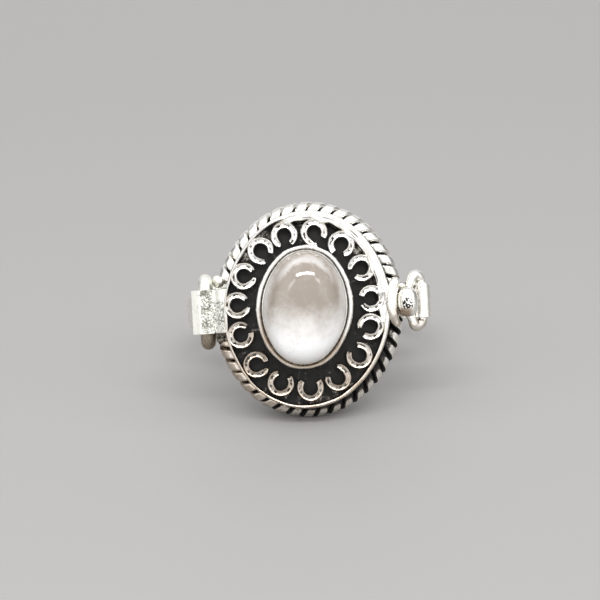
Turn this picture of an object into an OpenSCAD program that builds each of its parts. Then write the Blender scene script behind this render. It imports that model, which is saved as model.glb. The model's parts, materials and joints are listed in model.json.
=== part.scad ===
// Locket ring of silver: a plain band carries an oval box with a hinged lid, a stone and a link catch.
// Millimetres, +Z up. The ring lies on its side as it rests, and the origin is the centre of the finger hole.

/* [Band] */
// Inner diameter of the finger hole
finger_d = 18.2; // [16:0.1:21]
// Metal at the crown of the half-round band
band_t = 1.1; // [0.8:0.1:1.6]
// Width of the band along the finger
band_w = 3.2; // [2.4:0.1:4]

/* [Box] */
// Outer width of the oval box across the finger
box_w = 12.16; // [11.4:0.02:12.4]
// Outer length of the oval box along the finger
box_l = 14.12; // [13.4:0.02:14.4]
// Thickness of the box's wall and floor
box_t = 0.8; // [0.6:0.1:1]
// Height of the box over its back face
box_h = 3.7; // [3.4:0.1:4.2]
// Turn of the ovals against the band, seen from the front, clockwise negative
oval_turn = -6; // [-8:0.5:0]
// Shift of the ovals along the finger from the middle of the band
box_shift = -0.24; // [-0.4:0.02:0.2]
// Shift of the box and its rope border towards the catch, against the lid
box_side = 0.14; // [0:0.02:0.2]

/* [Rope border] */
// Outer diameter of the two twisted strands
rope_d = 1.44; // [1.3:0.02:1.5]
// Length of rope from one visible strand to the next
rope_pitch = 1.02; // [0.9:0.01:1.2]
// Opening of the rope for the hinge
rope_opening = 3.9; // [3.8:0.1:4.6]

/* [Lid] */
// Outer width of the lid's rim
lid_w = 13.06; // [12.6:0.02:13.4]
// Outer length of the lid's rim
lid_l = 15.48; // [15:0.02:15.8]
// Height of the lid's rim over its back face
lid_h = 1.45; // [1.2:0.05:1.7]
// Thickness of the lid's floor
lid_t = 0.6; // [0.4:0.05:0.8]
// Thickness of the lid's rim
rim_t = 0.3; // [0.24:0.02:0.36]
// Number of wire scrolls round the stone
scrolls = 15; // [12:1:15]
// Outer diameter of one scroll
scroll_d = 2; // [1.7:0.05:2.05]
// Thickness of the scroll wire
scroll_wire = 0.45; // [0.35:0.05:0.5]
// Height of the scrolls over the lid's floor
scroll_h = 0.72; // [0.5:0.02:0.8]

/* [Stone] */
// Width of the oval cabochon
stone_w = 7; // [6:0.1:7.2]
// Length of the oval cabochon
stone_l = 9; // [8:0.1:9.2]
// Height of the dome over the stone's edge
dome_h = 3.6; // [2.5:0.1:4]
// Thickness of the bezel's wall
bezel_t = 0.3; // [0.25:0.01:0.36]
// Height of the bezel over the lid's floor
bezel_h = 1.65; // [1.5:0.05:1.8]

/* [Hinge and catch] */
// Diameter of the hinge wire
pin_d = 1.12; // [1:0.02:1.16]
// Width of the rolled hinge strap
strap_w = 3.44; // [3:0.02:3.5]
// Thickness of the hinge strap
strap_t = 0.52; // [0.4:0.02:0.54]
// Overall height of the hinge staple
staple_l = 6; // [5.8:0.1:6.4]
// Diameter of the catch link's wire
link_d = 0.72; // [0.6:0.02:0.76]
// Width of the rolled catch strap
catch_w = 2.84; // [2.4:0.02:2.9]
// Thickness of the catch strap
catch_t = 0.3; // [0.25:0.01:0.32]
// Width of the catch's ball
ball_d = 1.72; // [1.5:0.02:1.74]
// Height of the catch's ball along the finger
ball_l = 2.35; // [2:0.05:2.5]

/* [Rest] */
// Sideways lean of the ring as it lies
rest_roll = 1.2; // [0:0.1:4]

/* [Hidden] */
$fn = 64;

// Radial gap between a rolled strap and the wire that it turns on
pin_gap = 0.04;
// Gap between neighbours that only touch on the real ring
small_gap = 0.03;
// Depth that one soldered piece sinks into the next
weld = 0.06;

finger_r = finger_d / 2;
band_r = finger_r + band_t;
band_edge_t = 0.64;
crown_r = (pow(band_t - band_edge_t, 2) + pow(band_w / 2, 2)) / 2 / (band_t - band_edge_t);

// Heights in the head's frame, over the axis of the finger hole
plate_h = finger_r + 0.35;
wall_top = plate_h + box_h;
lid_back = wall_top + 0.15;
tray_h = lid_back + lid_t;
rope_h = lid_back - 0.23 - rope_d / 2;

// Ovals: semi-axes and end radius
box_oval = [box_w / 2, box_l / 2, 0.885 * box_w / 2];
rope_oval = grown(box_oval, rope_d / 2 + small_gap);
lid_oval = [lid_w / 2, lid_l / 2, 0.88 * lid_w / 2];
stone_oval = [stone_w / 2, stone_l / 2, 0.85 * stone_w / 2];
bezel_oval = grown(stone_oval, small_gap + bezel_t);

// Bezel and stone
bezel_at = [-0.2, 0.17];
lip_in = 0.12;
lip_h = 0.3;
girdle_h = tray_h + 0.2;
stone_points = 48;
stone_rings = 9;

// Scrolls
scroll_oval = [5.12, 6.17];
scroll_at = [-0.05, -0.03];
scroll_phase = 82;
scroll_gap = 55;

// Hinge
hinge_x = -7.93;
hinge_h = lid_back - 0.3;
knuckle_r = pin_d / 2 + pin_gap + strap_t;
bend_r = 0.6;
leg_y = staple_l / 2 - pin_d / 2;
leg_foot_h = plate_h + 1.15;
leg_in = 4.9;

// Catch
catch_x = 9.1;
catch_h = lid_back - 0.4;
roll_r = link_d / 2 + pin_gap + catch_t;
roll_wrap = 280;
catch_run_h = plate_h + 1.3;
catch_bend = 0.5;
catch_in = 5.65;
link_w = 1.8;
link_lean = 28;
link_bar = catch_w / 2 + 0.05;
link_near_r = 0.5;
link_far_r = 1.2;
ball_x = 7.98;
ball_h = lid_back + 1.3;
crescent_r = 2.29;
crescent_d = 0.82;
crescent_at = [8.86, -0.1];
crescent_h = lid_back + 1.25;
crescent_from = 140;
crescent_to = 228;

// Rope sweep
rope_sides = 12;
rope_step = rope_pitch / 6;
rope_waist = 0.42;
rope_opening_at = box_shift - rope_oval[0] * sin(oval_turn);

// The ring leans back until its rope border and the back edge of the band lie on one level
contact_y = rope_oval[1] - box_shift - band_w / 2;
contact_run = finger_r + band_edge_t + rope_h;
rest_pitch = atan(contact_y / contact_run) + asin(rope_d / 2 / norm([contact_y, contact_run]));

// An oval is [semi-width, semi-length, end radius], drawn with four tangent arcs.
function grown(o, d) = [o[0] + d, o[1] + d, o[2] + d];
function end_y(o) = o[1] - o[2];
function side_x(o) = (pow(end_y(o), 2) - pow(o[0] - o[2], 2)) / 2 / (o[0] - o[2]);
function side_r(o) = o[0] + side_x(o);
function turn(o) = atan2(end_y(o), side_x(o));
function side_len(o) = 2 * PI * side_r(o) * 2 * turn(o) / 360;
function end_len(o) = 2 * PI * o[2] * (180 - 2 * turn(o)) / 360;
function oval_len(o) = 2 * (side_len(o) + end_len(o));

// Point and outward angle at the length s along an oval, counter-clockwise from the middle of its right side
function half_oval(o, s) =
    s < side_len(o) / 2
    ? let (g = s / side_r(o) * 180 / PI) [side_r(o) * cos(g) - side_x(o), side_r(o) * sin(g), g]
    : s < side_len(o) / 2 + end_len(o)
    ? let (g = turn(o) + (s - side_len(o) / 2) / o[2] * 180 / PI) [o[2] * cos(g), o[2] * sin(g) + end_y(o), g]
    : let (g = 180 - (oval_len(o) / 2 - s) / side_r(o) * 180 / PI)
        [side_r(o) * cos(g) + side_x(o), side_r(o) * sin(g), g];
function oval_at(o, s) =
    let (l = oval_len(o), q = s - l * floor(s / l))
    q < l / 2 ? half_oval(o, q) : let (p = half_oval(o, q - l / 2)) [-p[0], -p[1], p[2] + 180];

module oval(o) {
    intersection() {
        translate([-side_x(o), 0])
            circle(side_r(o));
        translate([side_x(o), 0])
            circle(side_r(o));
        square([4 * o[0], 2 * end_y(o) + 2 * o[2] * sin(turn(o))], center = true);
    }
    for (side = [-1, 1])
        translate([0, side * end_y(o)])
            circle(o[2]);
}

// Upright wall between an oval and a smaller one, from one height over another
module oval_wall(outer, inner, from, h) {
    translate([0, 0, from])
        linear_extrude(h)
            difference() {
                oval(outer);
                oval(inner);
            }
}

// Open tray: a floor and a wall round it
module tray(outer, from, h, floor_t, wall_t) {
    difference() {
        translate([0, 0, from])
            linear_extrude(h)
                oval(outer);
        translate([0, 0, from + floor_t])
            linear_extrude(h)
                oval(grown(outer, -wall_t));
    }
}

// Section of upright wire, its top corners cut off
module upright(t, h) {
    cut = 0.3 * t;
    polygon([[0, 0], [t, 0], [t, h - cut], [t - cut, h], [cut, h], [0, h - cut]]);
}

// The head's frame: X across the finger, Y along it, Z out from the finger hole
module head() {
    rotate([90, 0, 0])
        children();
}

// The same frame turned and shifted to the ovals
module head_oval(side = 0) {
    head()
        translate([side, box_shift, 0])
            rotate([0, 0, oval_turn])
                children();
}

module at_rest() {
    rotate([-rest_pitch, 0, 0])
        rotate([0, -rest_roll, 0])
            children();
}

// Part of a tube round the head's Y axis, from one angle over a sweep, 0 to the right and 90 to the front
module rolled(r_in, t, w, from, sweep) {
    rotate([90, 0, 0])
        rotate([0, 0, from])
            rotate_extrude(angle = sweep)
                translate([r_in, -w / 2])
                    square([t, w]);
}

// Quarter bend or arc of round wire in the XY plane
module wire_arc(bend, d, from, sweep) {
    rotate([0, 0, from])
        rotate_extrude(angle = sweep)
            translate([bend, 0])
                circle(d / 2);
}

module wire_x(d, from, to) {
    translate([from, 0, 0])
        rotate([0, 90, 0])
            cylinder(d = d, h = to - from);
}

module wire_y(d, half) {
    rotate([90, 0, 0])
        cylinder(d = d, h = 2 * half, center = true);
}

module band() {
    rotate_extrude()
        intersection() {
            translate([finger_r, -band_w / 2])
                square([band_t, band_w]);
            translate([band_r - crown_r, 0])
                circle(crown_r);
        }
}

module box_cup() {
    head_oval(box_side)
        tray(box_oval, plate_h, box_h, box_t, box_t);
}

// Round wire bent like a staple: the pin in front, and a leg at each end back and in to the box's wall
module hinge_staple() {
    head()
        translate([hinge_x, 0, 0]) {
            translate([0, 0, hinge_h])
                wire_y(pin_d, leg_y - bend_r);
            for (side = [-1, 1])
                mirror([0, side < 0 ? 1 : 0, 0])
                    translate([0, leg_y, 0]) {
                        translate([0, -bend_r, hinge_h - bend_r])
                            rotate([0, 90, 0])
                                wire_arc(bend_r, pin_d, 90, 90);
                        translate([0, 0, leg_foot_h + bend_r])
                            cylinder(d = pin_d, h = hinge_h - leg_foot_h - 2 * bend_r);
                        translate([bend_r, 0, leg_foot_h + bend_r])
                            rotate([90, 0, 0])
                                wire_arc(bend_r, pin_d, 180, 90);
                        translate([0, 0, leg_foot_h])
                            wire_x(pin_d, bend_r, -hinge_x - leg_in);
                    }
        }
}

// Strap from the box's wall out behind the rope, forward and rolled over the link
module catch_strap() {
    head() {
        translate([catch_x, 0, catch_h])
            rolled(roll_r - catch_t, catch_t, catch_w, 0, roll_wrap);
        translate([catch_x + roll_r - catch_t, -catch_w / 2, catch_run_h + catch_bend])
            cube([catch_t, catch_w, catch_h - catch_run_h - catch_bend]);
        translate([catch_x + roll_r - catch_bend, 0, catch_run_h + catch_bend])
            rolled(catch_bend - catch_t, catch_t, catch_w, -90, 90);
        translate([catch_in, -catch_w / 2, catch_run_h])
            cube([catch_x + roll_r - catch_bend - catch_in, catch_w, catch_t]);
    }
}

module ring_base() {
    color("silver")
        at_rest() {
            band();
            box_cup();
            hinge_staple();
            catch_strap();
        }
}

// Two strands twisted together, as one cross-section with two lobes that turns along the oval
function rope_point(s, j) =
    let (
        p = oval_at(rope_oval, s),
        g = 360 * j / rope_sides,
        lobe = 1 - rope_waist + rope_waist * cos(2 * (g - 180 * s / rope_pitch)),
        r = rope_d / 2 * (1 - rope_waist + lobe * rope_waist)
    )
    [p[0] + r * cos(g) * cos(p[2]), p[1] + r * cos(g) * sin(p[2]), rope_h + r * sin(g)];

module rope_border() {
    start = oval_len(rope_oval) / 2 + rope_opening_at + rope_opening / 2;
    rings = floor((oval_len(rope_oval) - rope_opening) / rope_step);
    step = (oval_len(rope_oval) - rope_opening) / rings;
    n = rope_sides;
    points = [for (i = [0:rings], j = [0:n - 1]) rope_point(start + i * step, j)];
    tube = [for (i = [0:rings - 1], j = [0:n - 1])
        let (a = i * n + j, b = i * n + (j + 1) % n)
        each [[a, b, b + n], [a, b + n, a + n]]];
    caps = [[for (j = [0:n - 1]) n - 1 - j], [for (j = [0:n - 1]) rings * n + j]];
    color("gainsboro")
        at_rest()
            head_oval(box_side)
                polyhedron(points, concat(tube, caps));
}

module lid_tray() {
    head_oval()
        tray(lid_oval, lid_back, lid_h, lid_t, rim_t);
}

// Wall round the stone, with a lip turned in over the stone's edge
module bezel() {
    wall_h = bezel_h - lip_h + weld;
    lip_oval = grown(bezel_oval, -lip_in / 2);
    head_oval()
        translate(bezel_at) {
            oval_wall(bezel_oval, grown(stone_oval, small_gap), tray_h - weld, wall_h);
            oval_wall(lip_oval, grown(stone_oval, -lip_in), tray_h + bezel_h - lip_h - weld, lip_h + weld);
        }
}

// Open rings of upright wire, each with its gap towards the stone
module scroll_ring() {
    r = (scroll_d - scroll_wire) / 2;
    for (i = [0:scrolls - 1]) {
        t = scroll_phase - 360 / scrolls * i;
        at = [scroll_oval[0] * cos(t), scroll_oval[1] * sin(t)];
        translate([scroll_at[0] + at[0], scroll_at[1] + at[1], tray_h - weld])
            rotate([0, 0, atan2(-at[1], -at[0]) + scroll_gap / 2])
                rotate_extrude(angle = 360 - scroll_gap)
                    translate([r - scroll_wire / 2, 0])
                        upright(scroll_wire, scroll_h + weld);
    }
}

module hinge_strap() {
    head()
        translate([hinge_x, 0, hinge_h]) {
            rolled(knuckle_r - strap_t, strap_t, strap_w, 90, 280);
            translate([0, -strap_w / 2, knuckle_r - strap_t])
                cube([-hinge_x - lid_w / 2 + rim_t, strap_w, strap_t]);
        }
}

// Curved wire on the lid's edge, which the catch's ball snaps against
module crescent() {
    head()
        translate([crescent_at[0], crescent_at[1], crescent_h])
            wire_arc(crescent_r, crescent_d, crescent_from, crescent_to - crescent_from);
}

module lid() {
    color("silver")
        at_rest() {
            lid_tray();
            bezel();
            head_oval()
                scroll_ring();
            hinge_strap();
            crescent();
        }
}

module stone() {
    o = stone_oval;
    base = tray_h + small_gap;
    levels = [for (i = [0:stone_rings - 1])
        let (g = 90 * i / stone_rings) [cos(g), girdle_h + dome_h * sin(g)]];
    rings = concat([[1, base]], levels);
    n = stone_points;
    points = concat(
        [for (ring = rings, j = [0:n - 1])
            let (p = oval_at(o, oval_len(o) * j / n)) [p[0] * ring[0], p[1] * ring[0], ring[1]]],
        [[0, 0, girdle_h + dome_h]]
    );
    side = [for (i = [0:len(rings) - 2], j = [0:n - 1])
        let (a = i * n + j, b = i * n + (j + 1) % n)
        each [[a, a + n, b + n], [a, b + n, b]]];
    last = (len(rings) - 1) * n;
    cap = [for (j = [0:n - 1]) [last + j, len(points) - 1, last + (j + 1) % n]];
    foot = [[for (j = [0:n - 1]) j]];
    color("mistyrose")
        at_rest()
            head_oval()
                translate(bezel_at)
                    polyhedron(points, concat(side, cap, foot));
}

// Closed link of round wire that turns in the rolled strap, with the ball soldered on its free side
module catch_loop() {
    near_x = -link_near_r;
    far_x = -link_w + link_far_r;
    top_y = link_bar + link_near_r;
    color("silver")
        at_rest()
            head() {
                translate([catch_x, 0, catch_h])
                    rotate([0, link_lean, 0]) {
                        wire_y(link_d, link_bar);
                        translate([-link_w, 0, 0])
                            wire_y(link_d, top_y - link_far_r);
                        for (side = [-1, 1])
                            mirror([0, side < 0 ? 1 : 0, 0]) {
                                translate([near_x, link_bar, 0])
                                    wire_arc(link_near_r, link_d, 0, 90);
                                translate([0, top_y, 0])
                                    wire_x(link_d, far_x, near_x);
                                translate([far_x, top_y - link_far_r, 0])
                                    wire_arc(link_far_r, link_d, 90, 90);
                            }
                    }
                translate([ball_x, 0, ball_h])
                    rotate([90, 0, 0])
                        rotate_extrude()
                            intersection() {
                                oval([ball_d / 2, ball_l / 2, 0.9 * ball_d / 2]);
                                translate([0, -ball_l])
                                    square([ball_d, 2 * ball_l]);
                            }
            }
}

ring_base();
rope_border();
lid();
stone();
catch_loop();
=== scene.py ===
import json
import math

import bmesh
import bpy
from mathutils import Matrix, Vector, noise


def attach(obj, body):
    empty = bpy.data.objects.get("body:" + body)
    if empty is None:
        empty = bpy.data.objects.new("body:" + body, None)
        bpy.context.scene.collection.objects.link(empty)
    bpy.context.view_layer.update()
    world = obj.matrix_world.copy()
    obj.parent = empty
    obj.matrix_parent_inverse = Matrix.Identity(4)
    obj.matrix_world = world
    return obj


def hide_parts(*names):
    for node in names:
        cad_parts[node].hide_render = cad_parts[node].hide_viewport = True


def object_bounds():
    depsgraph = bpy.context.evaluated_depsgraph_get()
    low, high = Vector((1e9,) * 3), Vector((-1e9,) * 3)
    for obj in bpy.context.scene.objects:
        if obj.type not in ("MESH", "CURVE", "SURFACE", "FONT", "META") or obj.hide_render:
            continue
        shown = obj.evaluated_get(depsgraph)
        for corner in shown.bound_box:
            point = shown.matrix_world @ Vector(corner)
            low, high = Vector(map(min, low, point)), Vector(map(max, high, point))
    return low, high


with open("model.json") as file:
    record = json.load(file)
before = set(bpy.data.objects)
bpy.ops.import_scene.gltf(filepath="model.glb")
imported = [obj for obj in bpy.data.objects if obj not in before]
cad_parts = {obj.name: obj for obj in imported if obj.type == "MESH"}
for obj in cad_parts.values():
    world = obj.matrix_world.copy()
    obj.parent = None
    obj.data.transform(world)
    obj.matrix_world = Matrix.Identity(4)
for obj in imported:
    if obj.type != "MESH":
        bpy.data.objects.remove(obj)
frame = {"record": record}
cad_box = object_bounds()

MM = 0.001
TAU = 2 * math.pi

# Sizes, in millimetres, in the head's frame: X across the finger, Y along it, Z out from the finger hole.
# The names end in T for a thickness, W a width, L a length, D a diameter, R a radius and H a height on Z.
BORE = next(m for m in frame["record"]["mounts"] if m["name"] == "finger_bore")
FINGER_R = BORE["dims"]["r_mm"]
BAND_T = 1.1
BAND_W = 3.2
BAND_EDGE_T = 0.64
BAND_CORNER_R = 0.09

BACK_H = FINGER_R + 0.35
BOX_W = 12.16
BOX_L = 14.12
BOX_T = 0.8
BOX_TOP_H = BACK_H + 3.7
OVAL_TURN = math.radians(-6)
OVAL_SHIFT = -0.24
BOX_SHIFT = 0.14

LID_BACK_H = BOX_TOP_H + 0.15
LID_W = 13.06
LID_L = 15.48
FLOOR_H = LID_BACK_H + 0.6
RIM_H = LID_BACK_H + 1.45
RIM_T = 0.3

ROPE_D = 1.44
ROPE_GAP = 0.03
ROPE_PITCH = 1.02
ROPE_OPENING = 4.3
ROPE_H = LID_BACK_H - 0.23 - ROPE_D / 2

STONE_W = 7.0
STONE_L = 9.0
GIRDLE_H = FLOOR_H + 0.2
DOME_T = 3.6
BEZEL_W = 7.6
BEZEL_L = 9.72
BEZEL_H = FLOOR_H + 1.65
BEZEL_AT = Vector((-0.2, 0.17, 0))

HINGE_X = -7.93
HINGE_H = LID_BACK_H - 0.3
PIN_D = 1.12
STAPLE_L = 6.0
HINGE_STRAP_W = 3.44
HINGE_STRAP_T = 0.52

CATCH_X = 9.1
CATCH_H = LID_BACK_H - 0.4
LINK_D = 0.72
CATCH_STRAP_W = 2.84
CATCH_STRAP_T = 0.3
BALL_AT = Vector((7.91, -0.08, LID_BACK_H + 1.3))
BALL_D = 1.6
BALL_L = 2.3

CRESCENT_D = 0.92

# Gap between a wire and the strap that is rolled round it
FIT = 0.04


# Frame

def head_matrix():
    """From millimetres in the head's frame to metres in the shared frame, as the ring lies at rest."""
    axis = Vector(BORE["axis"])
    sideways = math.asin(-axis.x)
    back = math.atan2(axis.y, axis.z)
    rest = Matrix.Rotation(-back, 4, "X") @ Matrix.Rotation(-sideways, 4, "Y")
    return rest @ Matrix.Rotation(math.pi / 2, 4, "X") @ Matrix.Scale(MM, 4)


HEAD = head_matrix()
UP = Vector((0, 0, 1))

# The lid's ovals are turned and shifted against the band, and the box and rope lie a little to its right
OVALS = Matrix.Translation((0, OVAL_SHIFT, 0)) @ Matrix.Rotation(OVAL_TURN, 4, "Z")
BOX_OVALS = Matrix.Translation((BOX_SHIFT, 0, 0)) @ OVALS

# Directions on the head: its lit side, away from the painted brown floor reflection at the lower left, the
# side that solder floods, and the side where the rope gets painted shade
LIT_SIDE = Vector((0.25, 0.95, 0))
FLOODED_SIDE = Vector((0.5, 0.866, 0))
SHADED_SIDE = Vector((0.6, -0.8, 0))


# Curves

class Oval:
    """Four tangent arcs, from a semi-width, a semi-length and an end radius."""

    def __init__(self, a, b, r):
        self.a, self.b, self.r = a, b, r
        self.end_y = b - r
        self.side_x = (self.end_y ** 2 - (a - r) ** 2) / 2 / (a - r)
        self.side_r = a + self.side_x
        self.turn = math.atan2(self.end_y, self.side_x)
        self.side_len = self.side_r * 2 * self.turn
        self.end_len = r * (math.pi - 2 * self.turn)
        self.length = 2 * (self.side_len + self.end_len)

    def grown(self, d):
        return Oval(self.a + d, self.b + d, self.r + d)

    def around(self, n):
        """Points and outward directions at n even steps round it."""
        return [self.at(self.length * i / n) for i in range(n)]

    def at(self, s):
        """Point and outward direction at the length s, going left round from the right side's middle."""
        s %= self.length
        half = self.length / 2
        sign = 1
        if s >= half:
            s -= half
            sign = -1
        if s < self.side_len / 2:
            g = s / self.side_r
            x, y = self.side_r * math.cos(g) - self.side_x, self.side_r * math.sin(g)
        elif s < self.side_len / 2 + self.end_len:
            g = self.turn + (s - self.side_len / 2) / self.r
            x, y = self.r * math.cos(g), self.r * math.sin(g) + self.end_y
        else:
            g = math.pi - (half - s) / self.side_r
            x, y = self.side_r * math.cos(g) + self.side_x, self.side_r * math.sin(g)
        return Vector((sign * x, sign * y, 0)), Vector((sign * math.cos(g), sign * math.sin(g), 0))


# The ends' radius is a share of half the width
BOX_OVAL = Oval(BOX_W / 2, BOX_L / 2, 0.885 * BOX_W / 2)
ROPE_OVAL = BOX_OVAL.grown(ROPE_D / 2 + ROPE_GAP)
LID_OVAL = Oval(LID_W / 2, LID_L / 2, 0.88 * LID_W / 2)
STONE_OVAL = Oval(STONE_W / 2, STONE_L / 2, 0.85 * STONE_W / 2)
BEZEL_OVAL = Oval(BEZEL_W / 2, BEZEL_L / 2, 0.84 * BEZEL_W / 2)


def bent(corners, bends, steps):
    """A line through corners, each inner one rounded to its own bend radius."""
    points = [Vector(corners[0])]
    for before, corner, after, r in zip(corners, corners[1:], corners[2:], bends):
        here = Vector(corner)
        back = (Vector(before) - here).normalized()
        on = (Vector(after) - here).normalized()
        half = back.angle(on) / 2
        centre = here + (back + on).normalized() * (r / math.sin(half))
        first = here + back * (r / math.tan(half)) - centre
        last = here + on * (r / math.tan(half)) - centre
        for k in range(steps + 1):
            points.append(centre + first.slerp(last, k / steps).normalized() * r)
    points.append(Vector(corners[-1]))
    return points


def resampled(points, step):
    """The same line with a point about every step."""
    out = [Vector(points[0])]
    for a, b in zip(points, points[1:]):
        n = max(1, round((Vector(b) - Vector(a)).length / step))
        out += [Vector(a).lerp(Vector(b), (k + 1) / n) for k in range(n)]
    return out


def along(points, closed=False):
    """Frames along a line, each turned from the last as little as possible: origin, side, up."""
    n = len(points)
    tangents = []
    for i in range(n):
        a = points[i - 1] if closed or i else points[0]
        b = points[(i + 1) % n] if closed or i < n - 1 else points[-1]
        tangents.append((b - a).normalized())
    side = tangents[0].orthogonal().normalized()
    sides = []
    for t in tangents:
        side = (side - t * side.dot(t)).normalized()
        sides.append(side)
    if closed:
        back = (sides[-1] - tangents[0] * sides[-1].dot(tangents[0])).normalized()
        slip = math.atan2(sides[0].cross(back).dot(tangents[0]), sides[0].dot(back))
        sides = [Matrix.Rotation(-slip * i / n, 3, t) @ s for i, (s, t) in enumerate(zip(sides, tangents))]
    return [(p, s, t.cross(s)) for p, s, t in zip(points, sides, tangents)]


def round_section(r, sides, wear):
    """Points (x, y, wear) round a circle."""
    return [(r * math.cos(TAU * j / sides), r * math.sin(TAU * j / sides), wear) for j in range(sides)]


def smooth(x):
    """An even ease from 0 to 1 as x goes from 0 to 1."""
    x = min(1, max(0, x))
    return x * x * (3 - 2 * x)


def jitter(p, size):
    """A smooth random value from -1 to 1 that varies over the given size."""
    return noise.noise(Vector(p) / size)


def painted_floor_reflection(p):
    """How strong the painted reflection of a brown floor is at a point, from 0 at the top of the head to 1
    at its lower left.
    """
    out = Vector((p[0], p[1] - OVAL_SHIFT, 0)).normalized()
    return smooth(0.25 - out.dot(LIT_SIDE) + 0.3 * jitter(p, 1.3))


# Meshes

# How far ahead of a wire's free end each last ring lies, and its size, in radii
ROUND_TIP = ((0.38, 0.92), (0.7, 0.71), (0.92, 0.38), (0.99, 0.12))
CUT_TIP = ((0.12, 0.97), (0.2, 0.86), (0.22, 0.5))


class Shape:
    """A mesh in the making, in millimetres, with a wear value for each point, 0 black to 1 rubbed bright,
    which in places also carries painted shade.

    Tarnish and painted floor reflection, 0 clean to 1 brown, are given for all points at once when they are
    there, or not at all.
    """

    def __init__(self):
        self.points = []
        self.faces = []
        self.wear = []
        self.tarnish_and_painted_reflection = []

    def add(self, points, faces, wear, place):
        start = len(self.points)
        self.points += [place @ p for p in points]
        self.faces += [[start + i for i in f] for f in faces]
        self.wear += wear

    def sweep(self, frames, section, sizes=None, closed=False, place=Matrix.Identity(4)):
        """A section carried along frames. A section point is (side, up, wear)."""
        n, m = len(frames), len(section)
        sizes = sizes or [1] * n
        points = [
            origin + side * (x * size) + up * (y * size)
            for (origin, side, up), size in zip(frames, sizes)
            for x, y, _ in section
        ]
        faces = [
            [i * m + j, i * m + (j + 1) % m, (i + 1) % n * m + (j + 1) % m, (i + 1) % n * m + j]
            for i in range(n if closed else n - 1)
            for j in range(m)
        ]
        if not closed:
            faces += [list(range(m)), [(n - 1) * m + j for j in range(m)]]
        self.add(points, faces, [w for _ in frames for _, _, w in section], place)

    def wire(
        self, points, d, sides, closed=False, tip=ROUND_TIP, wear=1.0, sizes=None, place=Matrix.Identity(4)
    ):
        """Round wire along a line."""
        frames = along(points, closed)
        sizes = list(sizes or [1] * len(points))
        if not closed:
            ends = []
            for (origin, side, up), size, sign in ((frames[0], sizes[0], -1), (frames[-1], sizes[-1], 1)):
                ahead = side.cross(up) * (sign * size * d / 2)
                ends.append([((origin + ahead * far, side, up), size * k) for far, k in tip])
            frames = [f for f, _ in reversed(ends[0])] + frames + [f for f, _ in ends[1]]
            sizes = [k for _, k in reversed(ends[0])] + sizes + [k for _, k in ends[1]]
        self.sweep(frames, round_section(d / 2, sides, wear), sizes, closed, place)

    def rings(self, rings, wear=None, tips=None, place=Matrix.Identity(4)):
        """Loops of points joined one to the next. The first and last end in a point each, or meet.

        Wear is a value for each loop, or set later.
        """
        n, m = len(rings[0]), len(rings)
        wear = wear or [0.0] * m
        points = [p for ring in rings for p in ring]
        values = [w for w in wear for _ in range(n)]
        faces = [
            [i * n + j, i * n + (j + 1) % n, (i + 1) % m * n + (j + 1) % n, (i + 1) % m * n + j]
            for i in range(m - 1 if tips else m)
            for j in range(n)
        ]
        if tips:
            points += tips
            values += [wear[0], wear[-1]]
            for tip, base in ((len(points) - 2, 0), (len(points) - 1, (m - 1) * n)):
                faces += [[base + j, base + (j + 1) % n, tip] for j in range(n)]
        self.add(points, faces, values, place)

    def blob(self, centre, size, squash, rough, wear=1.0):
        """A lump of solder or a grain of silver."""
        rings = []
        n = 20
        for i in range(1, 10):
            a = math.pi * i / 10
            ring = []
            for j in range(n):
                b = TAU * j / n
                d = Vector((math.sin(a) * math.cos(b), math.sin(a) * math.sin(b), math.cos(a)))
                r = size * (1 + rough * jitter(d * 1.3 + Vector(centre), 1))
                ring.append(Vector(centre) + Vector(d[k] * r * squash[k] for k in range(3)))
            rings.append(ring)
        tips = [Vector(centre) + Vector((0, 0, z * size * squash[2])) for z in (1, -1)]
        self.rings(rings, [wear] * len(rings), tips)

    def piece(self, name, body, material, node, wobble=0.0, wobble_size=1.0, sharp=40):
        """Make the mesh an object of the scene, a little uneven as handmade silver is."""
        mesh = bpy.data.meshes.new(name)
        points = self.points
        if wobble:
            apart = [Vector((31 * k, 17, 0)) for k in range(3)]
            points = [p + wobble * Vector(jitter(p + far, wobble_size) for far in apart) for p in points]
        mesh.from_pydata([HEAD @ p for p in points], [], self.faces)
        for key, values in (("wear", self.wear), ("tarnish_and_painted_reflection", self.tarnish_and_painted_reflection or [0.0] * len(points))):
            mesh.attributes.new(key, "FLOAT", "POINT").data.foreach_set("value", values)
        work = bmesh.new()
        work.from_mesh(mesh)
        bmesh.ops.recalc_face_normals(work, faces=work.faces)
        work.to_mesh(mesh)
        work.free()
        mesh.shade_smooth()
        mesh.set_sharp_from_angle(angle=math.radians(sharp))
        mesh.materials.append(material)
        obj = bpy.data.objects.new(name, mesh)
        bpy.context.scene.collection.objects.link(obj)
        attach(obj, body)
        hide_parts(node)


# Materials

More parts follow.
